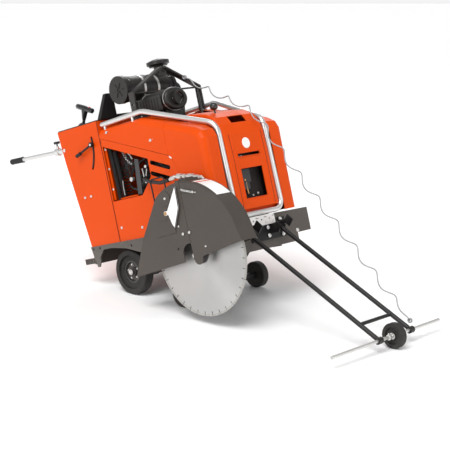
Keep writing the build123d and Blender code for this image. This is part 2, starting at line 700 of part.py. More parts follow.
def make_lift_rod():
    rod = rod_x(0, lift_rod_z, 215, 612, 14)
    rod += block(600, 622, -20, 20, lift_rod_z - 18, lift_rod_z + 18)
    for side in (-1, 1):
        y0, y1 = sorted((side * 10.5, side * 20))
        ear = block(610, lift_eye_x, y0, y1, lift_rod_z - 25, lift_rod_z + 25)
        ear += rod_y(lift_eye_x, lift_rod_z, y0, y1, 25)
        rod += ear - rod_y(lift_eye_x, lift_rod_z, y0 - 1, y1 + 1, 15)
    return rod


# ---------------- front guide ----------------
def make_pointer_brackets():
    px, pz = pointer_pivot
    base = block(930, 942, -127, 194, 45, 171) + block(930, 942, -252, -184, 70, 150)
    for y in pointer_arm_y:
        for offset_y in (-24, 17):
            y0 = y + offset_y
            outline = [(942, 80), (942, 138), (px, pz + 34), (px + 30, pz), (px, pz - 30)]
            ear = side_plate(outline, y0, y0 + 7)
            base += ear - rod_y(px, pz, y0 - 1, y0 + 8, 9 + running_gap)
    for x, y, z in ((1076, pointer_arm_y[0] + 17, 142), (1062, pointer_arm_y[1] + 17, 140)):
        flag = Pos(x, y + 3.5, z) * Rot(0, 45, 0) * Box(56, 7, 56)
        tongue = block(px - 20, x, y, y + 7, z - 12, z + 14) - rod_y(px, pz, y - 1, y + 8, 20)
        base += flag + tongue
    for y, z in ((23, 121), (136, 122), (-104, 65), (22, 70), (151, 62), (145, 158)):
        base += rod_x(y, z, 942, 950, 10)
    return base


def make_pointer_frame():
    frame = None
    px, pz = pointer_pivot
    tx, tz = pointer_tip
    for y in pointer_arm_y:
        near = (px + (tx - px) * 0.008, y, pz + (tz - pz) * 0.008)
        far = (px + (tx - px) * 0.987, y, pz + (tz - pz) * 0.987)
        arm = straight_rod(near, far, 14) + rod_y(px, pz, y - 15, y + 15, 18)
        arm += rod_y(px, pz, y - 26, y + 26, 9)
        arm += rod_y(tx, tz, y - 18, y + 18, 20)
        frame = arm if frame is None else frame + arm
    share = 0.86
    bx, bz = px + (tx - px) * share, pz + (tz - pz) * share
    frame += rod_y(bx, bz, pointer_arm_y[0], pointer_arm_y[1], 11)
    frame -= rod_y(tx, tz, -300, 200, 10)
    return frame


def make_pointer_rods():
    tx, tz = pointer_tip
    rod = rod_y(tx, tz, -640, 361, 10)
    for y in (-126, -30):
        rod += rod_y(tx, tz, y - 6, y + 6, 17)
    return rod


def make_pointer_wheel():
    tx, tz = pointer_tip
    wheel = fillet(rod_y(tx, tz, -100, -56, pointer_wheel_r).edges(), 8)
    wheel -= rod_y(tx, tz, -101, -90, 50) - rod_y(tx, tz, -102, -90, 24)
    wheel -= rod_y(tx, tz, -66, -55, 50) - rod_y(tx, tz, -66, -54, 24)
    return wheel - rod_y(tx, tz, -102, -54, 10 + running_gap)


def make_curly_cord():
    radii = []
    points = [Vector(*p) for p in cord_route]
    for before, here, after in zip(points, points[1:], points[2:]):
        first, second = here - before, after - here
        turn = math.radians(first.get_angle(second))
        radii.append(0.45 * min(first.length, second.length) / math.tan(turn / 2))
    path = FilletPolyline(*cord_route, radius=radii)
    tube = sweep(Plane(path @ 0, z_dir=path % 0) * Circle(cord_r), path=path)
    print("cord radii", [round(r) for r in radii], "length", round(path.length))
    print("cord volume ratio", round(tube.volume / (math.pi * cord_r**2 * path.length), 4))
    return tube


# ---------------- handles and controls ----------------
def along_handle(shape):
    """Tilt a level shape to the handles' slope, about their pivot."""
    px, pz = handle_pivot
    return Pos(px, 0, pz) * Rot(0, handle_slope_deg, 0) * Pos(-px, 0, -pz) * shape


def make_handle_frame():
    px, pz = handle_pivot
    y = -handle_y
    sleeve = rod_x(y, pz, -556, -110, sleeve_r) + rod_x(y, pz, -545, -510, 26)
    sleeve += rod_z(-527, y, pz, pz + 40, 11)
    sleeve -= rod_z(-527, y, pz + 2, pz + 41, 5 + running_gap)
    half = along_handle(sleeve) + rod_y(px, pz, -body_y - 4, 0, 12)
    half -= along_handle(rod_x(y, pz, -560, -100, handle_tube_r + running_gap))
    bolt_x, bolt_z = clamp_bolt()
    bolt = rod_y(bolt_x, bolt_z, -body_y - 26, -handle_y - handle_tube_r - 1, 8)
    return half + mirror_y(half) + bolt


def clamp_bolt():
    """Centre of the clamp bolt in the arc slot."""
    slope = math.radians(handle_slope_deg)
    return handle_pivot[0] + 311 * math.cos(slope), handle_pivot[1] - 311 * math.sin(slope)


def make_handle(side):
    pz = handle_pivot[1]
    tube = rod_x(-handle_y, pz, handle_rear + 4, -424, handle_tube_r)
    tube -= rod_x(-handle_y, pz, handle_rear + 3, -423, handle_tube_r - 2.5)
    grip = rod_x(-handle_y, pz, handle_rear, -942, 19)
    grip = fillet(grip.edges().filter_by(lambda e: e.center().X < handle_rear + 1), 4)
    grip -= rod_x(-handle_y, pz, handle_rear + 4, -941, handle_tube_r)
    handle = along_handle(Compound(children=[tube, grip]))
    return handle if side < 0 else mirror_y(handle)


def make_tknob(side):
    pz = handle_pivot[1]
    y = -handle_y
    knob = rod_z(-527, y, pz + 21, pz + 62, 5)
    knob += fillet(block(-555, -499, y - 8, y + 8, pz + 56, pz + 74).edges(), 5)
    knob = along_handle(knob)
    return knob if side < 0 else mirror_y(knob)


def make_clamp_lever():
    bolt_x, bolt_z = clamp_bolt()
    y1 = -body_y - 5
    lever = rod_y(bolt_x, bolt_z, y1 - 20, y1, 17)
    lever += straight_rod((bolt_x, y1 - 12, bolt_z), (-255, y1 - 22, 832), 7)
    lever += straight_rod((-225, y1 - 20, 841.5), (-268, y1 - 23, 828), 12)
    return lever - rod_y(bolt_x, bolt_z, y1 - 25, y1 + 1, 8 + running_gap)


def grip_bar(length, r):
    """Rounded bar along local Z."""
    bar = Cylinder(r, length - 2 * r)
    return bar + Pos(0, 0, length / 2 - r) * Sphere(r) + Pos(0, 0, r - length / 2) * Sphere(r)


def at_grip(shape):
    """Set a shape made round the grip's centre on the joystick."""
    return Pos(*joystick_grip) * Rot(0, grip_slope_deg, 0) * shape


def make_joystick():
    x, y, z = joystick_base
    stick = straight_rod((x, y, z + 2), joystick_grip, 9) + Pos(x, y, z) * Sphere(14)
    stick += rod_y(x, z, y - 20, y + 20, 6)
    grip = Rot(0, 90, 0) * grip_bar(170, 17)
    return stick + at_grip(grip) - at_grip(rod_z(45, 0, 8, 30, 8 + 0.3))


def make_joystick_button():
    return at_grip(rod_z(45, 0, 12, 21, 8))


def make_emergency_stop():
    stop = rod_z(*stop_at, console_top - 4, console_top + 26, 10)
    return stop + fillet(rod_z(*stop_at, console_top + 22, console_top + 42, 21).edges(), 5)


def make_key_switch():
    x, y = key_at
    key = rod_z(x, y, console_top - 4, console_top + 12, 8)
    return key + block(x - 14, x + 14, y - 2.5, y + 2.5, console_top + 10, console_top + 40)


def make_throttle_lever():
    lever = block(-256, -244, 238, 244, console_top - 30, console_top + 52)
    lever += rod_y(-250, 1000, 230, 252, 9)
    return lever + Pos(-250, 241, console_top + 55) * Sphere(13)


def make_ball_knob():
    x, y = 800.0, -88.0
    knob = rod_z(x, y, 870, 920, 6)
    return knob + Pos(x, y, 932) * Sphere(26)


def place(shape):
    """Pitch a level part nose-up and stand it on the wheels."""
    return Pos(shift_x, shift_y, rear_tyre_r) * Rot(0, -nose_up_deg, 0) * shape


def build_all():
    parts["main_frame"] = make_main_frame()
    parts["front_box"] = make_front_box()
    parts["bumper_plate"] = make_bumper_plate()
    parts["console_shell"] = make_console_shell()
    parts["control_panel"] = make_control_panel()
    parts["hood_right"] = make_hood_right()
    parts["hood_left"] = mirror_y(parts["hood_right"])
    parts["side_panel_right"] = make_side_panel(True)
    parts["side_panel_left"] = mirror_y(make_side_panel(False))
    parts["hoop_tube"] = make_hoop_tube()
    cowl = make_centre_cowl() - rod_z(800, -88, 880, 900, 6 + running_gap)
    parts["centre_cowl"] = cowl - parts["hoop_tube"]
    parts["panel_fasteners"] = make_panel_fasteners()
    parts["lifting_bail"] = make_lifting_bail()
    parts["engine"] = make_engine()
    parts["drive_pulley"] = make_drive_pulley()
    parts["fan"] = make_fan()
    parts["radiator"] = make_radiator()
    parts["drive_belt"] = make_drive_belt()
    parts["air_cleaner"] = make_air_cleaner()
    parts["intake_hose"] = make_intake_hose()
    parts["band_clamps"] = make_band_clamps()
    parts["muffler"] = make_muffler()
    parts["bearing_blocks"] = make_bearing_blocks()
    parts["blade_shaft"] = make_blade_shaft()
    parts["blade_flanges"] = make_blade_flanges()
    parts["blade"] = make_blade()
    parts["guard_rear"] = make_guard_rear()
    parts["guard_front"] = make_guard_front()
    parts["guard_latch"] = make_guard_latch()
    parts["guard_spring"] = make_guard_spring()
    parts["wire_handle"] = make_wire_handle()
    parts["water_manifold"] = make_water_manifold()
    parts["water_hose"] = make_water_hose()
    parts["rear_drive"] = make_rear_drive()
    parts["lift_arm"] = make_lift_arm()
    parts["lift_cylinder"] = make_lift_cylinder()
    parts["lift_rod"] = make_lift_rod()
    parts["pointer_brackets"] = make_pointer_brackets()
    parts["pointer_frame"] = make_pointer_frame()
    parts["pointer_rods"] = make_pointer_rods()
    parts["pointer_wheel"] = make_pointer_wheel()
    parts["curly_cord"] = make_curly_cord()
    parts["handle_frame"] = make_handle_frame()
    parts["clamp_lever"] = make_clamp_lever()
    parts["joystick"] = make_joystick()
    parts["joystick_button"] = make_joystick_button()
    parts["emergency_stop"] = make_emergency_stop()
    parts["key_switch"] = make_key_switch()
    parts["throttle_lever"] = make_throttle_lever()
    parts["ball_knob"] = make_ball_knob()
    for name, side in (("right", -1), ("left", 1)):
        parts[f"rear_hub_{name}"] = make_rear_hub(side)
        parts[f"rear_tyre_{name}"] = make_tyre(side)
        parts[f"front_wheel_{name}"] = make_front_wheel(side)
        parts[f"handle_{name}"] = make_handle(side)
        parts[f"tknob_{name}"] = make_tknob(side)


build_all()
os.makedirs("parts", exist_ok=True)
for node, shape in parts.items():
    export_step(place(shape), f"parts/{node}.step")
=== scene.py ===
"""Looks for the walk-behind masonry floor saw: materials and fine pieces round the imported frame."""
import json
import math

import bmesh
import bpy
from mathutils import Matrix, Vector


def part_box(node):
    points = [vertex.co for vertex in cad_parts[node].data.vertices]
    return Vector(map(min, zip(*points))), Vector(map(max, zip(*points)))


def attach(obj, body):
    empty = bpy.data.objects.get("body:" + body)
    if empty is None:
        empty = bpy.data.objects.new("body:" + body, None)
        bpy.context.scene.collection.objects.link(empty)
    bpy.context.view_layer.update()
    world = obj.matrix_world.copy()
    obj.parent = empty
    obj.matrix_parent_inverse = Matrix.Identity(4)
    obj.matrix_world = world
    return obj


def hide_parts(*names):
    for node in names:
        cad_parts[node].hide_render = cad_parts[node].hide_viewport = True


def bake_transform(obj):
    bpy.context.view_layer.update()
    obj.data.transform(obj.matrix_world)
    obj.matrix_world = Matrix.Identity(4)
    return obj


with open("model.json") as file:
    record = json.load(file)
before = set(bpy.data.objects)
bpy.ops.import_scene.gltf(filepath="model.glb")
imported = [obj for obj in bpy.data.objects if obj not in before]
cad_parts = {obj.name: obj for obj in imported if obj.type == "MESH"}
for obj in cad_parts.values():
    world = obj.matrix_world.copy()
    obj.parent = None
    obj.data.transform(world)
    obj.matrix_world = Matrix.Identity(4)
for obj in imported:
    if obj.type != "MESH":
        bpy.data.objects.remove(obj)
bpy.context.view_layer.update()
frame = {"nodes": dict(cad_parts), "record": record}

# ---- the chassis frame: level, millimetres, origin on the rear axle ----
NOSE_UP = math.radians(16.0)
tyre_low, tyre_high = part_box("rear_tyre_right")
far_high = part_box("rear_tyre_left")[1]
AXLE_HEIGHT = 0.149
AXLE = Vector(((tyre_low.x + tyre_high.x) / 2, (tyre_low.y + far_high.y) / 2, AXLE_HEIGHT))


def at(x, y, z):
    """Row-frame point in metres for a point in the level chassis frame, in millimetres."""
    c, s = math.cos(NOSE_UP), math.sin(NOSE_UP)
    return AXLE + Vector((x * c - z * s, y, x * s + z * c)) / 1000


CHASSIS = Matrix.Translation(AXLE) @ Matrix.Rotation(-NOSE_UP, 4, "Y") @ Matrix.Scale(0.001, 4)


# ---------------- materials ----------------
def node_at(tree, kind, **values):
    node = tree.nodes.new(kind)
    for key, value in values.items():
        node.inputs[key.replace("_", " ")].default_value = value
    return node


def finish(name, colour, rough, metal=0.0, coat=0.0, vary=0.10, patch=7.0, grain=700.0, bump=0.05,
           wear=0.0, worn=(0.35, 0.34, 0.33), dust=0.0, spread=0.10, rings=None, shine=0.5):
    """Procedural finish: patchy colour, fine grain, uneven roughness, scuffs and settled dust."""
    mat = bpy.data.materials.new(name)
    mat.use_nodes = True
    tree = mat.node_tree
    bsdf = tree.nodes["Principled BSDF"]
    link = tree.links.new
    coord = tree.nodes.new("ShaderNodeTexCoord").outputs["Object"]
    broad = node_at(tree, "ShaderNodeTexNoise", Scale=patch, Detail=4.0, Roughness=0.6)
    fine = node_at(tree, "ShaderNodeTexNoise", Scale=grain, Detail=3.0, Roughness=0.6)
    middle = node_at(tree, "ShaderNodeTexNoise", Scale=patch * 9, Detail=6.0, Roughness=0.65)
    for noise in (broad, fine, middle):
        link(coord, noise.inputs["Vector"])
    tint = tree.nodes.new("ShaderNodeMix")
    tint.data_type = "RGBA"
    tint.inputs["A"].default_value = tuple(c * (1 - vary) for c in colour) + (1,)
    tint.inputs["B"].default_value = tuple(min(1, c * (1 + vary)) for c in colour) + (1,)
    link(broad.outputs["Fac"], tint.inputs["Factor"])
    shade = tint.outputs["Result"]
    if wear:
        mask = node_at(tree, "ShaderNodeMapRange", From_Min=0.63, From_Max=0.72, To_Max=wear)
        link(middle.outputs["Fac"], mask.inputs["Value"])
        scuff = tree.nodes.new("ShaderNodeMix")
        scuff.data_type = "RGBA"
        scuff.inputs["B"].default_value = worn + (1,)
        link(mask.outputs["Result"], scuff.inputs["Factor"])
        link(shade, scuff.inputs["A"])
        shade = scuff.outputs["Result"]
    if dust:
        split = tree.nodes.new("ShaderNodeSeparateXYZ")
        link(coord, split.inputs["Vector"])
        low = node_at(tree, "ShaderNodeMapRange", From_Min=0.45, From_Max=0.0, To_Max=dust)
        link(split.outputs["Z"], low.inputs["Value"])
        amount = tree.nodes.new("ShaderNodeMath")
        amount.operation = "MULTIPLY"
        link(low.outputs["Result"], amount.inputs[0])
        link(middle.outputs["Fac"], amount.inputs[1])
        film = tree.nodes.new("ShaderNodeMix")
        film.data_type = "RGBA"
        film.inputs["B"].default_value = (0.36, 0.34, 0.31, 1)
        link(amount.outputs["Value"], film.inputs["Factor"])
        link(shade, film.inputs["A"])
        shade = film.outputs["Result"]
    link(shade, bsdf.inputs["Base Color"])
    uneven = node_at(tree, "ShaderNodeMapRange", To_Min=max(0.03, rough - spread),
                     To_Max=min(1, rough + spread))
    link(middle.outputs["Fac"], uneven.inputs["Value"])
    link(uneven.outputs["Result"], bsdf.inputs["Roughness"])
    relief = node_at(tree, "ShaderNodeBump", Strength=bump, Distance=0.001)
    link(fine.outputs["Fac"], relief.inputs["Height"])
    if rings:
        move = tree.nodes.new("ShaderNodeMapping")
        move.inputs["Location"].default_value = tuple(-v for v in rings)
        link(coord, move.inputs["Vector"])
        wave = node_at(tree, "ShaderNodeTexWave", Scale=110.0, Distortion=0.6, Detail=3.0)
        wave.wave_type = "RINGS"
        wave.rings_direction = "Y"
        link(move.outputs["Vector"], wave.inputs["Vector"])
        turned = node_at(tree, "ShaderNodeBump", Strength=0.12, Distance=0.0006)
        link(wave.outputs["Fac"], turned.inputs["Height"])
        link(relief.outputs["Normal"], turned.inputs["Normal"])
        relief = turned
    link(relief.outputs["Normal"], bsdf.inputs["Normal"])
    bsdf.inputs["Metallic"].default_value = metal
    bsdf.inputs["Coat Weight"].default_value = coat
    bsdf.inputs["Coat Roughness"].default_value = 0.12
    bsdf.inputs["Specular IOR Level"].default_value = shine
    if rings:
        sweep = tree.nodes.new("ShaderNodeTangent")
        sweep.direction_type = "RADIAL"
        sweep.axis = "Y"
        link(sweep.outputs["Tangent"], bsdf.inputs["Tangent"])
        bsdf.inputs["Anisotropic"].default_value = 0.85
    return mat


BLADE_X = 857
BLADE_AT = at(BLADE_X, -502, 50)
M = {
    "orange": finish("orange_powder_coat", (0.68, 0.066, 0.0015), 0.40, vary=0.04, grain=420, bump=0.06,
                     wear=0.05, worn=(0.55, 0.16, 0.07), dust=0.06, shine=0.14),
    "frame": finish("frame_grey_coat", (0.085, 0.073, 0.064), 0.45, shine=0.3, vary=0.10, grain=500,
                    bump=0.08, wear=0.25, dust=0.35),
    "guard": finish("guard_grey_coat", (0.064, 0.054, 0.046), 0.42, shine=0.3, vary=0.10, grain=480,
                    bump=0.07, wear=0.10, worn=(0.2, 0.19, 0.18), dust=0.12),
    "bright": finish("bright_zinc_plate", (0.76, 0.74, 0.72), 0.42, metal=0.35, vary=0.06, bump=0.04,
                     wear=0.2),
    "black": finish("satin_black_coat", (0.010, 0.009, 0.009), 0.34, shine=0.35, vary=0.2, grain=520,
                    bump=0.08, wear=0.10, worn=(0.09, 0.085, 0.08), dust=0.06),
    "plastic": finish("moulded_black_plastic", (0.011, 0.010, 0.010), 0.42, shine=0.35, vary=0.12,
                      grain=1500, bump=0.16, wear=0.10, worn=(0.05, 0.05, 0.05)),
    "silver": finish("satin_silver_tube", (0.74, 0.74, 0.73), 0.30, metal=0.8, vary=0.04, grain=900,
                     bump=0.01, wear=0.04, worn=(0.5, 0.5, 0.5), spread=0.05),
    "zinc": finish("zinc_plated_steel", (0.72, 0.71, 0.69), 0.33, metal=0.8, vary=0.08, bump=0.05,
                   wear=0.2),
    "pulley": finish("machined_pulley", (0.35, 0.35, 0.36), 0.38, metal=0.9, vary=0.1, bump=0.05,
                     wear=0.2),
    "blade": finish("ground_blade_steel", (0.52, 0.52, 0.51), 0.34, metal=0.95, vary=0.05, patch=4,
                    grain=900, bump=0.03, wear=0.07, worn=(0.42, 0.41, 0.40), rings=BLADE_AT),
    "segment": finish("diamond_segment", (0.42, 0.41, 0.38), 0.62, metal=0.45, vary=0.2, grain=1800,
                      bump=0.5, wear=0.4, worn=(0.25, 0.24, 0.23)),
    "iron": finish("painted_cast_iron", (0.030, 0.028, 0.028), 0.52, vary=0.25, grain=320, bump=0.35,
                   wear=0.25, worn=(0.12, 0.115, 0.11)),
    "radiator": finish("radiator_black", (0.022, 0.022, 0.023), 0.5, metal=0.4, vary=0.2, grain=900,
                       bump=0.3, wear=0.1, worn=(0.1, 0.1, 0.1)),
    "rubber": finish("hose_rubber", (0.017, 0.016, 0.016), 0.58, vary=0.15, grain=1200, bump=0.15,
                     wear=0.15, worn=(0.06, 0.058, 0.055)),
    "tyre": finish("solid_tyre_rubber", (0.009, 0.008, 0.008), 0.62, shine=0.25, vary=0.2, grain=800,
                   bump=0.3, wear=0.2, worn=(0.06, 0.057, 0.054), dust=0.16),
    "hub": finish("hub_black", (0.028, 0.026, 0.025), 0.36, coat=0.1, vary=0.2, bump=0.08, wear=0.2,
                  dust=0.15),
    "white": finish("white_enamel", (0.84, 0.83, 0.82), 0.38, coat=0.2, vary=0.03, bump=0.04, wear=0.08,
                    worn=(0.5, 0.49, 0.48)),
    "label": finish("blank_label_vinyl", (0.88, 0.88, 0.87), 0.32, vary=0.03, bump=0.02, wear=0.12,
                    worn=(0.62, 0.62, 0.61)),
    "red": finish("red_plastic", (0.62, 0.02, 0.012), 0.3, coat=0.3, vary=0.06, bump=0.04),
    "chrome": finish("polished_key", (0.75, 0.75, 0.76), 0.16, metal=1.0, vary=0.04, bump=0.02,
                     spread=0.05),
    "gloss": finish("gloss_black_knob", (0.012, 0.012, 0.013), 0.2, coat=0.4, vary=0.1, bump=0.03,
                    spread=0.06),
    "line": finish("coiled_nylon_line", (0.36, 0.36, 0.37), 0.4, vary=0.08, grain=1600, bump=0.2,
                   wear=0.2, worn=(0.22, 0.22, 0.22)),
    "slate": finish("slate_grey_coat", (0.048, 0.048, 0.050), 0.42, shine=0.35, vary=0.1, grain=900,
                    bump=0.12, wear=0.1, worn=(0.16, 0.16, 0.17)),
    "dark": finish("seam_shadow", (0.012, 0.008, 0.007), 0.8, vary=0.2, bump=0.1),
    "copper": finish("brass_fitting", (0.60, 0.36, 0.16), 0.33, metal=0.9, vary=0.1, bump=0.06,
                     wear=0.2),
    "moulding": finish("dark_moulding", (0.016, 0.014, 0.013), 0.36, shine=0.45, vary=0.2, grain=1100,
                       bump=0.12, wear=0.12, worn=(0.06, 0.055, 0.05)),
    "bail": finish("worn_black_plate", (0.026, 0.023, 0.021), 0.36, shine=0.5, vary=0.2, grain=520,
                   bump=0.08, wear=0.25, worn=(0.12, 0.11, 0.10)),
    "foam": finish("foam_grip", (0.02, 0.02, 0.02), 0.55, vary=0.12, grain=1700, bump=0.3, wear=0.15,
                   worn=(0.06, 0.06, 0.06), shine=0.3),
}
SLOT_LOOK = {
    "orange_paint": "orange", "frame_grey": "frame", "guard_grey": "guard", "bright_plate": "bright",
    "black_steel": "black", "black_plastic": "plastic", "silver_tube": "silver", "zinc_steel": "zinc",
    "pulley_steel": "pulley", "blade_steel": "blade", "engine_iron": "iron", "hydraulic_paint": "black",
    "radiator_black": "radiator", "hose_rubber": "rubber", "tyre_rubber": "tyre", "hub_black": "hub",
    "latch_white": "white", "stop_red": "red", "key_metal": "chrome", "knob_black": "gloss",
    "cord_white": "line",
}


OWN_LOOK = {
    "blade_flanges": "iron", "air_cleaner": "moulding", "muffler": "moulding", "lifting_bail": "bail",
}


def dress_cad():
    """Give every carried-over CAD node its procedural finish."""
    for part in frame["record"]["subparts"]:
        obj = frame["nodes"][part["node"]]
        obj.data.materials.clear()
        look = OWN_LOOK.get(part["node"], SLOT_LOOK[part["material_slot"]])
        obj.data.materials.append(M[look])


# ---------------- piece builder, in chassis millimetres ----------------
def angles(count):
    """Even angles once round a circle."""
    return [2 * math.pi * n / count for n in range(count)]


BEVEL_ANGLE = math.radians(35)


class Piece:
    """Collects fine parts of one finish on one body into a single mesh."""

    def __init__(self, name, look, body, slot):
        self.name, self.look, self.body, self.slot = name, look, body, slot
        self.mesh = bmesh.new()

    def _ring(self, centre, u, v, r, count):
        return [self.mesh.verts.new(centre + (u * math.cos(a) + v * math.sin(a)) * r)
                for a in angles(count)]

    def lathe(self, start, end, profile, count=32):
        """Turned form: profile is (share along, radius) pairs."""
        start, end = Vector(start), Vector(end)
        axis = (end - start).normalized()
        u = axis.orthogonal().normalized()
        v = axis.cross(u)
        rings = [self._ring(start.lerp(end, s), u, v, r, count) for s, r in profile]
        for a, b in zip(rings, rings[1:]):
            for i in range(count):
                j = (i + 1) % count
                self.mesh.faces.new((a[i], a[j], b[j], b[i]))
        self.mesh.faces.new(list(reversed(rings[0])))
        self.mesh.faces.new(rings[-1])

    def disc(self, start, end, r, count=32, edge=0.12):
        """Round with softened rims."""
        self.lathe(start, end, [(0, r * 0.94), (edge, r), (1 - edge, r), (1, r * 0.94)], count)

    def bolt(self, base, axis, r, height):
        """Hex head with washer and a domed top."""
        base, axis = Vector(base), Vector(axis).normalized()
        self.lathe(base, base + axis * height * 0.25, [(0, r * 1.3), (0.6, r * 1.3), (1, r * 1.22)], 24)
        self.lathe(base + axis * height * 0.25, base + axis * height,
                   [(0, r), (0.8, r), (1, r * 0.82)], 6)

    def tube(self, points, r, count=10, closed=False):
        """Round wire through points."""
        points = [Vector(p) for p in points]
        rings, u = [], None
        for i, point in enumerate(points):
            before = points[i - 1] if i else (points[-1] if closed else point)
            after = points[i + 1] if i + 1 < len(points) else (points[0] if closed else point)
            along = (after - before).normalized()
            u = along.orthogonal().normalized() if u is None else (u - along * u.dot(along)).normalized()
            rings.append(self._ring(point, u, along.cross(u), r, count))
        pairs = list(zip(rings, rings[1:])) + ([(rings[-1], rings[0])] if closed else [])
        for a, b in pairs:
            for i in range(count):
                j = (i + 1) % count
                self.mesh.faces.new((a[i], a[j], b[j], b[i]))
        if not closed:
            self.mesh.faces.new(list(reversed(rings[0])))
            self.mesh.faces.new(rings[-1])

    def slab(self, outline, depth):
        """Thin plate: outline of points, extruded along a vector."""
        depth = Vector(depth)
        a = [self.mesh.verts.new(Vector(p)) for p in outline]
        b = [self.mesh.verts.new(Vector(p) + depth) for p in outline]
        self.mesh.faces.new(a)
        self.mesh.faces.new(list(reversed(b)))
        for i in range(len(a)):
            j = (i + 1) % len(a)
            self.mesh.faces.new((a[j], a[i], b[i], b[j]))

    def box(self, low, high):
        """Plate or block between two corners."""
        (x0, y0, z0), (x1, y1, z1) = low, high
        self.slab([(x0, y0, z0), (x1, y0, z0), (x1, y0, z1), (x0, y0, z1)], (0, y1 - y0, 0))

    def done(self, bevel=0.0, smooth=40):
        bmesh.ops.recalc_face_normals(self.mesh, faces=self.mesh.faces)
        data = bpy.data.meshes.new(self.name)
        self.mesh.to_mesh(data)
        self.mesh.free()
        data.transform(CHASSIS)
        data.materials.append(M[self.look])
        obj = bpy.data.objects.new(self.name, data)
        bpy.context.scene.collection.objects.link(obj)
        for face in data.polygons:
            face.use_smooth = True
        data.set_sharp_from_angle(angle=math.radians(smooth))
        if bevel:
            soft = obj.modifiers.new("edges", "BEVEL")
            soft.width = bevel / 1000
            soft.segments = 2
            soft.angle_limit = BEVEL_ANGLE
        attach(obj, self.body)
        return obj


def arc_xz(cx, cz, r, a0, a1, count, y):
    step = (a1 - a0) / (count - 1)
    turns = [math.radians(a0 + step * i) for i in range(count)]
    return [(cx + r * math.cos(a), y, cz + r * math.sin(a)) for a in turns]


# ---------------- curly line ----------------
CORD_ROUTE = [
    (348, 149, 1200), (498, 142, 1105), (690, 130, 992), (855, 119, 912), (968, 112, 818),
    (1045, 112, 670), (1205, 114, 400), (1428, 117, 55), (1640, 119, -275), (1826, 121, -560),
]


def route_points():
    """Points along the cord's middle line, read from its smooth spline."""
    data = bpy.data.curves.new("line_route", "CURVE")
    data.dimensions = "3D"
    data.resolution_u = 40
    spline = data.splines.new("NURBS")
    spline.points.add(len(CORD_ROUTE) - 1)
    for point, place in zip(spline.points, CORD_ROUTE):
        point.co = (*at(*place), 1)
    spline.order_u = 3
    spline.use_endpoint_u = True
    holder = bpy.data.objects.new("line_route", data)
    bpy.context.scene.collection.objects.link(holder)
    bpy.context.view_layer.update()
    mesh = bpy.data.meshes.new_from_object(holder)
    points = [v.co.copy() for v in mesh.vertices]
    bpy.data.objects.remove(holder)
    bpy.data.meshes.remove(mesh)
    return points


def make_curly_line():
    turns, coil_r, wire_r = 12, 0.0195, 0.0042
    run = route_points()
    lengths = [0.0]
    for a, b in zip(run, run[1:]):
        lengths.append(lengths[-1] + (b - a).length)
    total = lengths[-1]
    count = turns * 26
    helix = []
    k, side = 0, Vector((0, 1, 0))
    for i in range(count + 1):
        want = total * i / count
        while k < len(run) - 2 and lengths[k + 1] < want:
            k += 1
        share = (want - lengths[k]) / max(1e-9, lengths[k + 1] - lengths[k])
        middle = run[k].lerp(run[k + 1], min(1, share))
        along = (run[k + 1] - run[k]).normalized()
        side = (side - along * side.dot(along)).normalized()
        up = along.cross(side)
        angle = 2 * math.pi * turns * i / count
        ease = min(1.0, i / 20, (count - i) / 20)
        helix.append(middle + (side * math.cos(angle) + up * math.sin(angle)) * coil_r * ease)
    mesh = bmesh.new()
    rings, u = [], None
    for i, point in enumerate(helix):
        along = (helix[min(i + 1, count)] - helix[max(i - 1, 0)]).normalized()
        u = along.orthogonal().normalized() if u is None else (u - along * u.dot(along)).normalized()
        v = along.cross(u)
        rings.append([mesh.verts.new(point + (u * math.cos(t) + v * math.sin(t)) * wire_r)
                      for t in angles(8)])
    for a, b in zip(rings, rings[1:]):
        for n in range(8):
            m = (n + 1) % 8
            mesh.faces.new((a[n], a[m], b[m], b[n]))
    mesh.faces.new(list(reversed(rings[0])))
    mesh.faces.new(rings[-1])
    bmesh.ops.recalc_face_normals(mesh, faces=mesh.faces)
    data = bpy.data.meshes.new("curly_line")
    mesh.to_mesh(data)
    mesh.free()
    for face in data.polygons:
        face.use_smooth = True
    data.materials.append(M["line"])
    obj = bpy.data.objects.new("curly_line", data)
    bpy.context.scene.collection.objects.link(obj)
    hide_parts("curly_cord")
    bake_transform(obj)
    for name, spot, body in (("line_tie_upper", CORD_ROUTE[0], "chassis"),
                             ("line_tie_lower", CORD_ROUTE[-1], "pointer_body")):
        tie = Piece(name, "line", body, "cord_white")
        x, y, z = spot
        for shift in (-5, 0, 5):
            loop = [(x + 12 * math.cos(t), y + shift, z + 12 * math.sin(t))
                    for t in angles(20)]
            tie.tube(loop, 3.2, 8, closed=True)
        tie.done()


# ---------------- guard and blade details ----------------
def coil(piece, start, end, r, wire, turns):
    start, end = Vector(start), Vector(end)
    axis = (end - start).normalized()
    u = axis.orthogonal().normalized()
    v = axis.cross(u)
    count = turns * 14
    points = []
    for i in range(count + 1):
        angle = 2 * math.pi * turns * i / count
        points.append(start.lerp(end, i / count) + (u * math.cos(angle) + v * math.sin(angle)) * r)
    piece.tube(points, wire, 6)


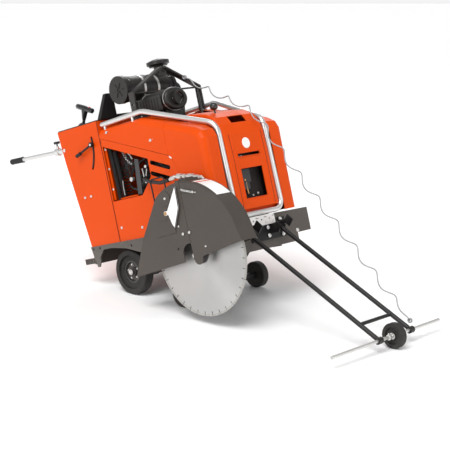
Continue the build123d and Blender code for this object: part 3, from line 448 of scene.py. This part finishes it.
def make_guard_details():
    spring = Piece("guard_spring_coil", "zinc", "guard_front_body", "zinc_steel")
    coil(spring, (884, -580, 451), (984, -580, 422), 6.2, 1.3, 22)
    spring.tube([(884, -580, 451), (878, -580, 453), (876, -576, 453), (876, -571, 453)], 1.8)
    spring.tube([(984, -580, 422), (990, -580, 420), (992, -576, 420), (992, -571, 420)], 1.8)
    spring.disc((876, -570, 453), (876, -577, 453), 4.5)
    spring.disc((992, -570, 420), (992, -577, 420), 4.5)
    obj = spring.done()
    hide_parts("guard_spring")
    rear = Piece("guard_rear_bolts", "zinc", "chassis", "zinc_steel")
    rear.bolt((817, -576, 190), (0, -1, 0), 7, 6)
    rear.bolt((716, -574, 421), (0, -1, 0), 6, 5)
    rear.bolt((790, -574, 240), (0, -1, 0), 5, 4)
    rear.done()
    front = Piece("guard_front_bolts", "zinc", "guard_front_body", "zinc_steel")
    front.bolt((874, -576, 193), (0, -1, 0), 7, 6)
    front.bolt((985, -570, 95), (0, -1, 0), 5, 5)
    front.done()
    label = Piece("guard_blank_label", "label", "guard_front_body", "latch_white")
    outer = arc_xz(BLADE_X, 82, 421.2, 74, 45, 16, 0)
    for (x0, _, z0), (x1, _, z1) in zip(outer, outer[1:]):
        label.slab([(x0, -562, z0), (x1, -562, z1), (x1, -450, z1), (x0, -450, z0)],
                   (0.6 * (x0 - BLADE_X) / 421, 0, 0.6 * (z0 - 82) / 421))
    label.done()
    stripe = Piece("guard_label_band", "orange", "guard_front_body", "orange_paint")
    band = arc_xz(BLADE_X, 82, 422.4, 70, 68.6, 3, 0)
    for (x0, _, z0), (x1, _, z1) in zip(band, band[1:]):
        stripe.slab([(x0, -562, z0), (x1, -562, z1), (x1, -450, z1), (x0, -450, z0)],
                    (0.5 * (x0 - BLADE_X) / 421, 0, 0.5 * (z0 - 82) / 421))
    stripe.done()
    rim = Piece("guard_front_rim", "guard", "guard_front_body", "guard_grey")
    edge = arc_xz(BLADE_X, 82, 417.5, 88.6, 10, 48, -571.5)
    rim.tube(edge, 2.6, 8)
    rim.done()
    pin = Piece("latch_bolt", "copper", "guard_latch_body", "zinc_steel")
    pin.bolt((713, -588, 331), (0, -1, 0), 9, 6)
    pin.done()
    face = Piece("latch_raised_edge", "slate", "guard_latch_body", "latch_white")
    face.tube([(833, -582, 481), (830, -583, 350), (766, -583, 235)], 2.6, 8)
    face.done()
    teeth = Piece("blade_segments", "segment", "blade_body", "blade_steel")
    for i in range(36):
        a0, a1 = 10 * i + 1.0, 10 * i + 9.0
        inner = arc_xz(BLADE_X, 50, 368, a0, a1, 5, -505.0)
        outer_arc = arc_xz(BLADE_X, 50, 381.0, a0, a1, 5, -505.0)
        teeth.slab(inner + list(reversed(outer_arc)), (0, 6.0, 0))
    teeth.done(bevel=0.5)
    # Painted shade: thin dark sheets on both blade faces stand in for the shade seen through the slots
    # between segments.
    slots = Piece("blade_slots", "dark", "blade_body", "blade_steel")
    for i in range(36):
        a = math.radians(10 * i)
        c, s = math.cos(a), math.sin(a)
        for y in (-504.2, -499.9):
            slots.slab([(BLADE_X + c * r - s * w, y, 50 + s * r + c * w)
                        for r, w in ((349, -1.3), (380, -1.3), (380, 1.3), (349, 1.3))], (0, 0.1, 0))
    slots.done()
    ring = Piece("blade_flange_ring", "iron", "blade_body", "zinc_steel")
    ring.lathe((BLADE_X, -515, 50), (BLADE_X, -518, 50), [(0, 56.5), (0.5, 55), (1, 44)], 48)
    ring.done()
    nut = Piece("arbor_nut", "zinc", "blade_body", "zinc_steel")
    nut.lathe((BLADE_X, -519, 50), (BLADE_X, -542, 50), [(0, 27), (0.85, 27), (1, 23)], 6)
    nut.lathe((BLADE_X, -542, 50), (BLADE_X, -561, 50), [(0, 13), (0.9, 13), (1, 11)], 24)
    nut.lathe((BLADE_X, -519, 50), (BLADE_X, -522, 50), [(0, 34), (0.6, 34), (1, 32)], 36)
    nut.done()


# ---------------- body details ----------------
def make_body_details():
    screws = Piece("panel_screws", "zinc", "chassis", "zinc_steel")
    for x, z in ((54, 931), (462, 806), (-298, 546), (-233, 546), (560, 230), (14, 299), (218, 276)):
        y = -367 if z > 700 or x < 0 else -365
        screws.bolt((x, y, z), (0, -1, 0), 5, 3)
        screws.bolt((x, -y, z), (0, 1, 0), 5, 3)
    for x, z in ((54, 931), (462, 806)):
        for side in (-16, 16):
            screws.disc((x + side, -361, z + side * 0.2), (x + side, -363.2, z + side * 0.2), 2.6, 12)
    for z in (826, 694, 558):
        screws.bolt((-16, -345, z), (0, -1, 0), 7, 5)
    for y, z in ((23, 121), (136, 122), (-104, 65), (22, 70), (151, 62), (145, 158)):
        screws.bolt((950, y, z), (1, 0, 0), 10, 8)
    screws.bolt((930, 307, 63), (1, 0, 0), 10, 8)
    for y in (-96, -22, 50):
        screws.bolt((950.6, y + 30, 160), (1, 0, 0), 5, 4)
    screws.done()
    seams = Piece("panel_seams", "dark", "chassis", "orange_paint")
    for y in (-140, 150):
        for low, high in (((936.2, 268), (934.3, 598)), ((934.3, 600), (926.4, 733))):
            seams.slab([(low[0], y - 1.4, low[1]), (low[0], y + 1.4, low[1]),
                        (high[0], y + 1.4, high[1]), (high[0], y - 1.4, high[1])], (0.4, 0, 0))
    seams.box((-33.6, -362.8, 214), (-30.4, -361.6, 1018))
    seams.done()
    ribs = Piece("cowl_ribs", "orange", "chassis", "orange_paint")
    for y in (-126, 136):
        ribs.tube([(935, y, 275), (935.2, y, 420), (933.4, y, 598), (925.6, y, 730)], 4.2, 10)
    for y0, y1, z0, z1 in ((-100, 95, 322, 513), (-103, 95, 585, 609)):
        loop = [(934.8, y0, z0), (934.8, y1, z0), (934.2, y1, z1), (934.2, y0, z1)]
        ribs.tube(loop, 3.4, 8, closed=True)
    ribs.done()
    fins = Piece("radiator_fins", "radiator", "chassis", "radiator_black")
    for i in range(60):
        z = 305 + i * 7.5
        fins.box((875, -166, z), (879, 146, z + 1.2))
    fins.done()
    bars = Piece("radiator_hardware", "zinc", "chassis", "zinc_steel")
    bars.bolt((884, 66, 345), (1, 0, 0), 7, 5)
    bars.bolt((884, 20, 338), (1, 0, 0), 5, 4)
    bars.tube([(888, -94, 595), (888, -60, 595), (888, -20, 596)], 4, 10)
    bars.done()
    unit = Piece("front_bay_box", "slate", "chassis", "radiator_black")
    unit.box((884, -98, 424), (902, 8, 508))
    unit.box((884, -60, 380), (898, -6, 424))
    unit.done(bevel=2.0)
    feed = Piece("front_bay_feed", "copper", "chassis", "zinc_steel")
    feed.tube([(893, -34, 424), (893, -36, 396), (893, -30, 352)], 5.5, 10)
    feed.bolt((902, -46, 440), (1, 0, 0), 5, 4)
    feed.done()
    # Painted shade: a near-black sheet behind the front opening stands in for the shaded bay interior.
    bay_shade = Piece("front_bay_painted_shade", "dark", "chassis", "radiator_black")
    bay_shade.box((880.5, -118, 300), (883, 112, 530))
    bay_shade.done()
    emblem = Piece("cowl_blank_plate", "white", "chassis", "latch_white")
    shape = [(929.5, -3 + 34 * math.cos(t), 668 + 34 * math.sin(t)) for t in angles(28)]
    emblem.slab([(x + (668 - z) * 0.055, y, z) for x, y, z in shape], (2.2, 0, 0))
    emblem.done(bevel=0.6)
    arch = Piece("arc_slot_lining", "plastic", "chassis", "black_plastic")
    arch.tube(arc_xz(-421, 892, 311, 5.5, -31.5, 24, -361.2), 7.6, 8)
    arch.done()
    # Painted highlight: a bright plate on the crease corner stands in for light catching the rounded
    # panel edge.
    crease_highlight = Piece("crease_painted_highlight", "bright", "chassis", "bright_plate")
    crease_highlight.slab([(x, -363.5, z) for x, z in ((600, 682), (618, 671), (622, 663), (616, 660), (600, 672))],
               (0, 2, 0))
    crease_highlight.done(bevel=0.5)
    tread = Piece("step_grip", "black", "chassis", "black_steel")
    for i in range(6):
        tread.box((-426 + i * 14, -369.5, 99), (-420 + i * 14, -368, 131))
    tread.done()
    lens = Piece("gauge_rims", "chrome", "chassis", "key_metal")
    for y in (-100, -20, 60, 140):
        lens.disc((-84, y, 1046), (-90, y, 1050), 14, 28)
    lens.done()


def make_bay_details():
    """What shows through the service window."""
    strap = Piece("bay_strap", "slate", "chassis", "black_steel")
    strap.slab([(240, -338, 720), (279, -338, 712), (256, -338, 488), (212, -338, 488)], (0, 5, 0))
    strap.done(bevel=1.0)
    ribbed = Piece("bay_corrugated_duct", "rubber", "chassis", "hose_rubber")
    steps = 46
    profile = []
    for i in range(steps * 2 + 1):
        profile.append((i / (steps * 2), 17 if i % 2 else 12.5))
    ribbed.lathe((6, -322, 845), (18, -322, 470), profile, 20)
    ribbed.lathe((44, -316, 800), (60, -316, 480), profile, 20)
    ribbed.done(smooth=70)
    guard = Piece("bay_fan_guard", "black", "chassis", "black_steel")
    for r in (22, 36, 50, 64, 78):
        loop = [(108 + r * math.cos(t), -300, 690 + r * math.sin(t)) for t in angles(36)]
        guard.tube(loop, 2.2, 6, closed=True)
    for i in range(8):
        t = math.pi * i / 8
        c, s = math.cos(t) * 80, math.sin(t) * 80
        guard.tube([(108 - c, -298, 690 - s), (108 + c, -298, 690 + s)], 2.2, 6)
    for i in range(9):
        guard.box((34, -296, 500 + i * 22), (112, -292, 508 + i * 22))
    guard.done()
    pipes = Piece("bay_steel_pipes", "zinc", "chassis", "zinc_steel")
    pipes.tube([(62, -270, 800), (82, -280, 786), (104, -286, 752), (128, -286, 712), (150, -276, 690)],
               13, 14)
    pipes.tube([(150, -300, 770), (176, -306, 752), (188, -306, 724)], 6, 10)
    pipes.tube([(80, -330, 600), (77, -332, 560), (74, -330, 505)], 3.2, 8)
    pipes.tube([(278, -318, 648), (286, -322, 610), (280, -318, 576)], 4.5, 8)
    pipes.tube([(322, -318, 640), (308, -322, 600), (318, -318, 560)], 4, 8)
    pipes.disc((154, -300, 596), (154, -322, 596), 15)
    pipes.bolt((154, -322, 596), (0, -1, 0), 8, 6)
    pipes.bolt((295, -322, 560), (0, -1, 0), 8, 6)
    pipes.bolt((326, -330, 655), (0, -1, 0), 8, 6)
    pipes.done()
    reds = Piece("bay_clips", "orange", "chassis", "orange_paint")
    reds.tube([(128, -312, 770), (146, -314, 778), (168, -314, 772)], 4.5, 8)
    reds.box((-24, -345, 486), (-4, -342, 842))
    reds.tube([(30, -330, 484), (140, -330, 486), (200, -330, 484)], 7, 10)
    reds.done(bevel=0.8)
    hoses = Piece("bay_hoses", "rubber", "chassis", "hose_rubber")
    hoses.tube([(340, -250, 700), (300, -280, 668), (250, -290, 620), (200, -290, 560), (190, -280, 490)],
               9, 12)
    hoses.tube([(120, -270, 640), (170, -286, 660), (230, -290, 690), (300, -270, 720)], 8, 12)
    hoses.tube([(90, -280, 560), (130, -296, 536), (180, -296, 520), (240, -280, 500)], 7, 12)
    hoses.tube([(440, -300, 660), (480, -310, 630), (560, -300, 600)], 10, 12)
    hoses.done()


def make_top_details():
    clamps = Piece("intake_ribs", "plastic", "chassis", "black_plastic")
    for i in range(12):
        t = i / 12
        for y in (-262, 160):
            a = 2 * math.pi * t
            clamps.tube([(147 + 70 * math.cos(a), y, 1186 + 70 * math.sin(a)),
                         (147 + 92.5 * math.cos(a), y, 1186 + 92.5 * math.sin(a))], 2.5, 6)
    for y in (-205, -60, 60, 110):
        loop = [(147 + 84.4 * math.cos(t), y, 1186 + 84.4 * math.sin(t))
                for t in angles(48)]
        clamps.tube(loop, 1.8, 6, closed=True)
    for a in angles(24):
        clamps.box((147 + 60 * math.cos(a) - 1.5, 122 + 60 * math.sin(a) - 1.5, 1318),
                   (147 + 60 * math.cos(a) + 1.5, 122 + 60 * math.sin(a) + 1.5, 1332))
    clamps.done()
    buckles = Piece("filter_buckles", "zinc", "chassis", "zinc_steel")
    for y in (-230, 140):
        for a in (0.6, 2.5, 4.4):
            c, s = math.cos(a), math.sin(a)
            buckles.tube([(147 + 86 * c, y - 12, 1186 + 86 * s), (147 + 90 * c, y, 1186 + 90 * s),
                          (147 + 86 * c, y + 12, 1186 + 86 * s)], 2.4, 8)
    for y in (-105, 15):
        buckles.bolt((147, y, 1094), (0, 0, -1), 5, 6)
    buckles.done()
    seam = Piece("muffler_bands", "zinc", "chassis", "zinc_steel")
    for x in (290, 504):
        loop = [(x, -130 + 98.6 * math.cos(t), 1046 + 74.6 * math.sin(t))
                for t in angles(48)]
        seam.tube(loop, 2.2, 6, closed=True)
    seam.tube([(538, -84, 1046), (542, -130, 1092), (538, -176, 1046), (542, -130, 1000)], 2.2, 6,
              closed=True)
    seam.done()
    pads = Piece("bail_feet_bolts", "zinc", "chassis", "zinc_steel")
    for x in (272, 328):
        for y in (-276, 276):
            pads.bolt((x, y, 972), (0, 0, 1), 6, 6)
    pads.done()
    # Painted shade: thin dark sheets on the shield stand in for the shade inside its slots.
    shield = Piece("muffler_shield_slots", "dark", "chassis", "black_steel")
    for i in range(7):
        x = 300 + i * 27
        shield.box((x, -246.6, 1000), (x + 12, -246.1, 1070))
    shield.done()


HANDLE_X, HANDLE_Y, HANDLE_Z = -421, 335, 892
HANDLE_SLOPE = math.radians(2.4)


def on_handle(x, side):
    """Point on a handle's middle line, sloping down towards the operator."""
    d = x - HANDLE_X
    return (HANDLE_X + d * math.cos(HANDLE_SLOPE), side * HANDLE_Y, HANDLE_Z - d * math.sin(HANDLE_SLOPE))


def make_handle_details():
    for name, side, body in (("right", -1, "handle_right_body"), ("left", 1, "handle_left_body")):
        grip = Piece(f"handle_{name}_grip_ribs", "foam", body, "silver_tube")
        grip.lathe(on_handle(-1084.2, side), on_handle(-938, side),
                   [(0, 13), (0.01, 18), (0.04, 19.6), (0.9, 19.6), (0.93, 22), (0.97, 22), (1, 19.6)],
                   32)
        for i in range(16):
            x, y, z = on_handle(-1080 + i * 8.6, side)
            loop = [(x, y + 19 * math.cos(t), z + 19 * math.sin(t))
                    for t in angles(24)]
            grip.tube(loop, 1.5, 6, closed=True)
        grip.done()
    boot = Piece("joystick_boot", "rubber", "chassis", "hose_rubber")
    boot.lathe((-382, -200, 1029), (-360, -200, 1056),
               [(0, 34), (0.2, 30), (0.3, 32), (0.5, 24), (0.6, 26), (0.8, 17), (1, 13)], 32)
    boot.done()
    stick = Piece("joystick_shell", "gloss", "joystick_body", "black_plastic")
    low, top = Vector((-371, -200, 1032)), Vector((-315, -200, 1149))
    stick.lathe(low, top, [(0, 10), (0.35, 11), (0.5, 15), (0.75, 20), (0.92, 24), (1, 21)], 28)
    tilt = math.radians(23)
    along = Vector((math.cos(tilt), 0, -math.sin(tilt))) * 86
    stick.lathe(top - along, top + along,
                [(0, 12), (0.04, 17.5), (0.2, 18.6), (0.5, 20), (0.6, 20), (0.66, 18.4), (0.84, 18.6),
                 (0.96, 17.5), (1, 11)], 28)
    stick.done()
    rows = Piece("rocker_switches", "gloss", "chassis", "knob_black")
    for i in range(6):
        y = -40 + i * 50
        rows.slab([(-168, y, 1029), (-140, y, 1029), (-140, y, 1035), (-154, y, 1032), (-168, y, 1033)],
                  (0, 22, 0))
    rows.done(bevel=0.8)


def make_wheel_details():
    for name, side, body in (("right", -1, "rear_wheel_right_body"), ("left", 1, "rear_wheel_left_body")):
        nuts = Piece(f"rear_nuts_{name}", "zinc", body, "zinc_steel")
        for i in range(5):
            a = math.radians(72 * i + 18)
            nuts.bolt((47 * math.cos(a), side * 322, 47 * math.sin(a)), (0, side, 0), 8, 10)
        nuts.bolt((0, side * 352, 0), (0, side, 0), 14, 8)
        nuts.done()
        bead = Piece(f"tyre_beads_{name}", "tyre", body, "tyre_rubber")
        for r, y in ((108, 343), (84, 341), (138, 354.6)):
            loop = [(r * math.cos(t), side * y, r * math.sin(t)) for t in angles(64)]
            bead.tube(loop, 1.8, 6, closed=True)
        bead.done()
    ax, az = 434.0, -187.9
    for name, y, side in (("right", -340, -1), ("left", 391, 1)):
        cap = Piece(f"front_cap_{name}", "hub", f"front_wheel_{name}_body", "hub_black")
        cap.lathe((ax, y, az), (ax, y + side * 3, az), [(0, 24), (0.5, 22), (1, 15)], 32)
        for r in (62, 78):
            loop = [(ax + r * math.cos(t), y + side * 0.4, az + r * math.sin(t))
                    for t in angles(56)]
            cap.tube(loop, 1.5, 6, closed=True)
        cap.done()
    tx, tz = 1850.0, -607.46
    guide = Piece("guide_wheel_details", "zinc", "pointer_wheel_body", "tyre_rubber")
    guide.lathe((tx, -100, tz), (tx, -103, tz), [(0, 20), (0.5, 19), (1, 13)], 32)
    guide.lathe((tx, -56, tz), (tx, -53, tz), [(0, 20), (0.5, 19), (1, 13)], 32)
    guide.done()
    collars = Piece("guide_rod_collars", "zinc", "pointer_body", "zinc_steel")
    for y in (-640, 355):
        collars.lathe((tx, y, tz), (tx, y + 6, tz), [(0, 7), (0.3, 10.6), (1, 10.6)], 24)
    for y in (-126, -30):
        collars.bolt((tx, y, tz + 17), (0, 0, 1), 4, 5)
    collars.done()


# ---------------- camera, light, floor ----------------
SENSOR = 36.0
FOCAL_SHARE = 1236 / 450
FLOOR_REACH = 300.0


def make_camera():
    data = bpy.data.cameras.new("camera")
    data.sensor_width = SENSOR
    data.lens = SENSOR * FOCAL_SHARE
    data.clip_end = 60
    cam = bpy.data.objects.new("camera", data)
    bpy.context.scene.collection.objects.link(cam)
    cam.location = (AXLE.x + 5.958, AXLE.y - 5.587, 2.177)
    cam.rotation_euler = (math.radians(90 - 12.2), 0, math.radians(44.2))
    bpy.context.scene.camera = cam


def make_light(name, place, aim, size, power):
    data = bpy.data.lights.new(name, "AREA")
    data.shape = "RECTANGLE"
    data.size, data.size_y = size
    data.energy = power
    lamp = bpy.data.objects.new(name, data)
    bpy.context.scene.collection.objects.link(lamp)
    lamp.location = place
    lamp.rotation_euler = (Vector(aim) - Vector(place)).to_track_quat("-Z", "Y").to_euler()


def make_stage():
    mesh = bpy.data.meshes.new("floor")
    r = FLOOR_REACH
    mesh.from_pydata([(-r, -r, 0), (r, -r, 0), (r, r, 0), (-r, r, 0)], [], [(0, 1, 2, 3)])
    floor = bpy.data.objects.new("floor", mesh)
    bpy.context.scene.collection.objects.link(floor)
    floor.location.z = -0.0005
    floor_mat = bpy.data.materials.new("floor")
    floor_mat.use_nodes = True
    bsdf = floor_mat.node_tree.nodes["Principled BSDF"]
    bsdf.inputs["Base Color"].default_value = (0.97, 0.97, 0.97, 1)
    bsdf.inputs["Roughness"].default_value = 0.9
    mesh.materials.append(floor_mat)
    world = bpy.data.worlds.new("studio")
    world.use_nodes = True
    tree = world.node_tree
    back = tree.nodes["Background"]
    coord = tree.nodes.new("ShaderNodeTexCoord")
    split = tree.nodes.new("ShaderNodeSeparateXYZ")
    tree.links.new(coord.outputs["Generated"], split.inputs["Vector"])
    height = node_at(tree, "ShaderNodeMapRange", From_Min=0.02, From_Max=0.45, To_Min=0.9, To_Max=0.42)
    tree.links.new(split.outputs["Z"], height.inputs["Value"])
    back.inputs["Color"].default_value = (1, 1, 1, 1)
    tree.links.new(height.outputs["Result"], back.inputs["Strength"])
    bpy.context.scene.world = world
    bpy.context.scene.view_settings.view_transform = "Standard"
    sun = bpy.data.lights.new("sun", "SUN")
    sun.energy = 2.3
    sun.angle = 0.6
    lamp = bpy.data.objects.new("sun", sun)
    bpy.context.scene.collection.objects.link(lamp)
    lamp.rotation_euler = Vector((-0.30, 0.80, -1.25)).to_track_quat("-Z", "Y").to_euler()
    make_light("key", (1.5, -6.0, 3.0), (0, -0.2, 0.6), (1.5, 3.0), 60)
    make_light("front", (6.0, 1.5, 2.6), (0.3, 0, 0.6), (2.0, 2.5), 40)
    make_light("back", (-4.0, 4.5, 4.5), (0, 0, 0.7), (3.0, 3.0), 80)


make_camera()
make_stage()
dress_cad()
make_curly_line()
make_guard_details()
make_body_details()
make_bay_details()
make_top_details()
make_handle_details()
make_wheel_details()
